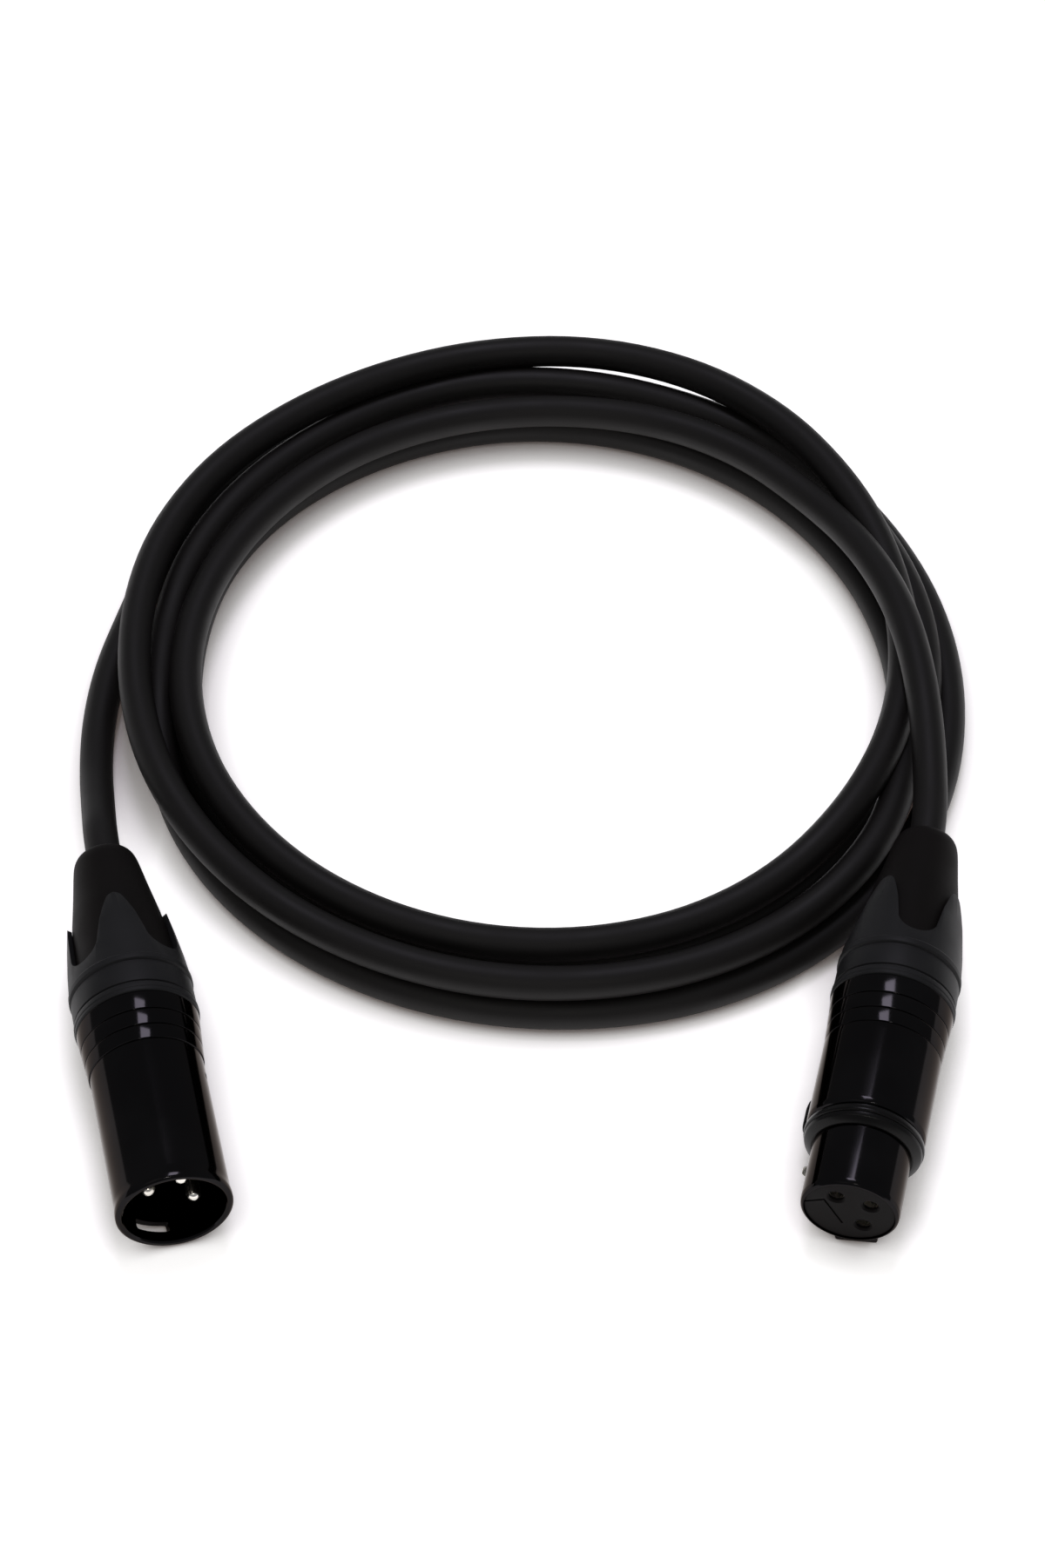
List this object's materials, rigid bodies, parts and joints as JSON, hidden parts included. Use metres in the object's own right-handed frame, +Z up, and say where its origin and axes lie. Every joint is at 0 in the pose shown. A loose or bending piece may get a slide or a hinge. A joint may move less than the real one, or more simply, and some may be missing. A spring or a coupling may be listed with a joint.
{
  "type": "xlr cable coil",
  "caption": "Short coiled microphone lead with a male and a female three-pole XLR connector.",
  "frame": {"origin": "on the table, under the middle of the box round the two connectors", "axes": "+Z up, +X from the male connector towards the female one, both connectors point towards -Y"},
  "size_m": [0.164, 0.2087, 0.0218],
  "materials": {
    "shell_black_chrome": "black chrome plate on die-cast zinc, glossy",
    "nut_nylon": "satin moulded glass-filled nylon",
    "sleeve_elastomer": "matte moulded elastomer",
    "chuck_acetal": "moulded acetal",
    "insert_polyester": "matte moulded polyester",
    "ring_nylon": "gloss black moulded ring",
    "contact_silver": "silver plate on brass",
    "latch_nickel": "nickel plate",
    "spring_steel": "bright steel",
    "cable_jacket": "matte extruded PVC",
    "wire_red": "extruded insulation",
    "wire_white": "extruded insulation",
    "wire_copper": "bare copper strands"
  },
  "bodies": {
    "root": {"cable_coil": "cable_jacket", "cable_tail_female": "cable_jacket", "cable_tail_male": "cable_jacket", "female_buffer_ring": "ring_nylon", "female_cable_end": "cable_jacket", "female_cold_wire": "wire_white", "female_ground_spring": "spring_steel", "female_hot_wire": "wire_red", "female_insert": "insert_polyester", "female_latch_pin": "spring_steel", "female_latch_spring": "spring_steel", "female_shell": "shell_black_chrome", "female_shield_wire": "wire_copper", "female_socket_1": "contact_silver", "female_socket_2": "contact_silver", "female_socket_3": "contact_silver", "male_cable_end": "cable_jacket", "male_cold_wire": "wire_white", "male_ground_spring": "spring_steel", "male_hot_wire": "wire_red", "male_insert": "insert_polyester", "male_pin_1": "contact_silver", "male_pin_2": "contact_silver", "male_pin_3": "contact_silver", "male_shell": "shell_black_chrome", "male_shield_wire": "wire_copper"},
    "female_boot": {"female_boot_nut": "nut_nylon", "female_boot_sleeve": "sleeve_elastomer"},
    "female_chuck": {"female_chuck": "chuck_acetal"},
    "latch": {"female_latch": "latch_nickel", "female_latch_button": "shell_black_chrome"},
    "male_boot": {"male_boot_nut": "nut_nylon", "male_boot_sleeve": "sleeve_elastomer"},
    "male_chuck": {"male_chuck": "chuck_acetal"}
  },
  "joints": [
    {"name": "male_chuck_slide", "type": "slide", "parent": "root", "child": "male_chuck", "axis": [-0.2232, 0.9745, 0.0227], "range_m": [0, 0.003]},
    {"name": "male_boot_unscrew", "type": "hinge", "parent": "male_chuck", "child": "male_boot", "pos_m": [-0.06336, 0.00266, 0.01058], "axis": [-0.2232, 0.9745, 0.0227], "range_deg": [0, 1080]},
    {"name": "female_chuck_slide", "type": "slide", "parent": "root", "child": "female_chuck", "axis": [0.2282, 0.9729, 0.0384], "range_m": [0, 0.003]},
    {"name": "female_boot_unscrew", "type": "hinge", "parent": "female_chuck", "child": "female_boot", "pos_m": [0.06323, 0.00575, 0.01128], "axis": [0.2282, 0.9729, 0.0384], "range_deg": [0, 1080]},
    {"name": "latch_press", "type": "hinge", "parent": "root", "child": "latch", "pos_m": [0.05584, -0.00521, 0.00739], "axis": [-0.5793, 0.104, 0.8084], "range_deg": [0, 3.5], "stiffness_Nm_per_rad": 0.25, "springref_deg": -4.58, "deforming": ["female_latch_spring"]}
  ],
  "couplings": [
    {"joint": "male_boot_unscrew", "follows": "male_chuck_slide", "rad_per_m": 6283.2},
    {"joint": "female_boot_unscrew", "follows": "female_chuck_slide", "rad_per_m": 6283.2}
  ]
}
